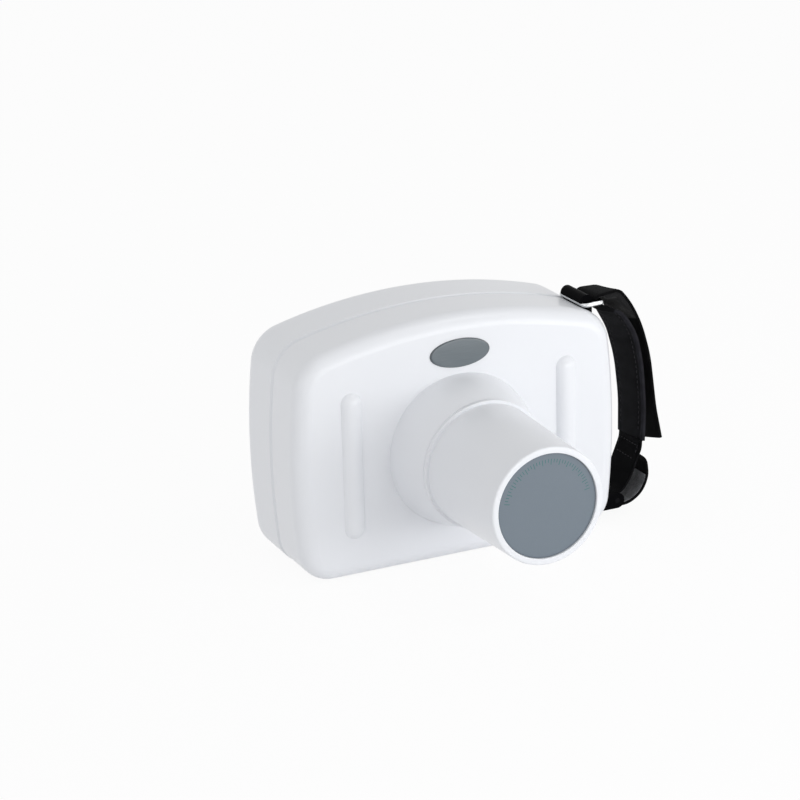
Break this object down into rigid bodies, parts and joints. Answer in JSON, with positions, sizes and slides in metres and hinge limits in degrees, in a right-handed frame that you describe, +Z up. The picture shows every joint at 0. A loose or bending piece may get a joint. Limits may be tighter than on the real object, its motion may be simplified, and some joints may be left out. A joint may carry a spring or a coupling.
{
  "type": "portable dental x-ray unit",
  "caption": "Hand-held dental x-ray unit: white camera-shaped casing, round beam cone in front, keys and display behind, black webbing hand strap.",
  "frame": {"origin": "middle of the casing's flat base, half way through the casing's depth, below the cone's axis", "axes": "+Z up; the beam cone points to -Y; the hand strap is on the +X side"},
  "size_m": [0.2344, 0.1793, 0.1433],
  "materials": {
    "casing_white": "satin gloss white ABS",
    "cone_white": "satin gloss white ABS",
    "window_grey": "matt blue-grey sheet",
    "badge_grey": "satin grey film under a clear coat",
    "panel_grey": "fine textured membrane",
    "key_light": "soft touch keys",
    "key_accent": "soft touch keys",
    "button_orange": "moulded button",
    "bezel_grey": "moulded ring",
    "display_glass": "clear window over a dark display",
    "black_plastic": "moulded nylon",
    "webbing_black": "woven nylon webbing",
    "pad_black": "neoprene with knit face",
    "ring_chrome": "polished wire",
    "steel": "zinc plated",
    "brass": "turned",
    "aluminium": "machined",
    "lead": "dull heavy metal",
    "copper": "copper",
    "tube_glass": "borosilicate",
    "board_green": "solder mask",
    "cell_blue": "shrink sleeve",
    "inner_black": "moulded"
  },
  "bodies": {
    "casing": {"front_shell": "casing_white", "rear_shell": "casing_white", "cone_collar": "cone_white", "cone_lip_ring": "cone_white", "cone_tube": "cone_white", "cone_liner": "lead", "cone_end_rim": "cone_white", "cone_window": "window_grey", "badge_plate": "badge_grey", "xray_tank": "aluminium", "tube_envelope": "tube_glass", "tube_anode": "copper", "tube_cathode": "steel", "beam_collimator": "lead", "beam_filter": "aluminium", "main_board": "board_green", "transformer_core": "steel", "transformer_winding": "copper", "multiplier_board": "board_green", "battery_cells": "cell_blue", "battery_holder": "inner_black", "key_board": "board_green", "key_switches": "inner_black", "display_module": "display_glass", "display_window": "display_glass", "control_panel": "panel_grey", "exposure_bezel": "bezel_grey", "exposure_switch": "inner_black", "charge_socket": "inner_black", "buzzer": "inner_black", "case_screws": "steel", "tripod_bush": "brass", "upper_strap_lug": "black_plastic", "lower_strap_lug": "black_plastic", "lower_strap_pin": "steel", "strap_upper_loop": "webbing_black", "strap_tail": "webbing_black", "strap_pad": "pad_black", "strap_lower_loop": "webbing_black"},
    "upper_strap_ring": {"upper_strap_ring": "ring_chrome"},
    "exposure_button": {"exposure_button": "button_orange"},
    "key_time_up": {"key_time_up": "key_light"},
    "key_time_down": {"key_time_down": "key_light"},
    "key_tooth": {"key_tooth": "key_light"},
    "key_patient": {"key_patient": "key_light"},
    "key_power": {"key_power": "key_accent"}
  },
  "joints": [
    {"name": "upper_ring_swing", "type": "hinge", "parent": "casing", "child": "upper_strap_ring", "pos_m": [0.0835, -0.014, 0.1328], "axis": [0, 1, 0], "range_deg": [-15, 12], "deforming": ["strap_upper_loop"]},
    {"name": "exposure_press", "type": "slide", "parent": "casing", "child": "exposure_button", "axis": [0, -1, 0], "range_m": [0, 0.0018], "stiffness_N_per_m": 600, "springref_m": -0.001},
    {"name": "key_time_up_press", "type": "slide", "parent": "casing", "child": "key_time_up", "axis": [0, -1, 0], "range_m": [0, 0.0008], "stiffness_N_per_m": 800, "springref_m": -0.0006},
    {"name": "key_time_down_press", "type": "slide", "parent": "casing", "child": "key_time_down", "axis": [0, -1, 0], "range_m": [0, 0.0008], "stiffness_N_per_m": 800, "springref_m": -0.0006},
    {"name": "key_tooth_press", "type": "slide", "parent": "casing", "child": "key_tooth", "axis": [0, -1, 0], "range_m": [0, 0.0008], "stiffness_N_per_m": 800, "springref_m": -0.0006},
    {"name": "key_patient_press", "type": "slide", "parent": "casing", "child": "key_patient", "axis": [0, -1, 0], "range_m": [0, 0.0008], "stiffness_N_per_m": 800, "springref_m": -0.0006},
    {"name": "key_power_press", "type": "slide", "parent": "casing", "child": "key_power", "axis": [0, -1, 0], "range_m": [0, 0.0008], "stiffness_N_per_m": 800, "springref_m": -0.0006}
  ]
}
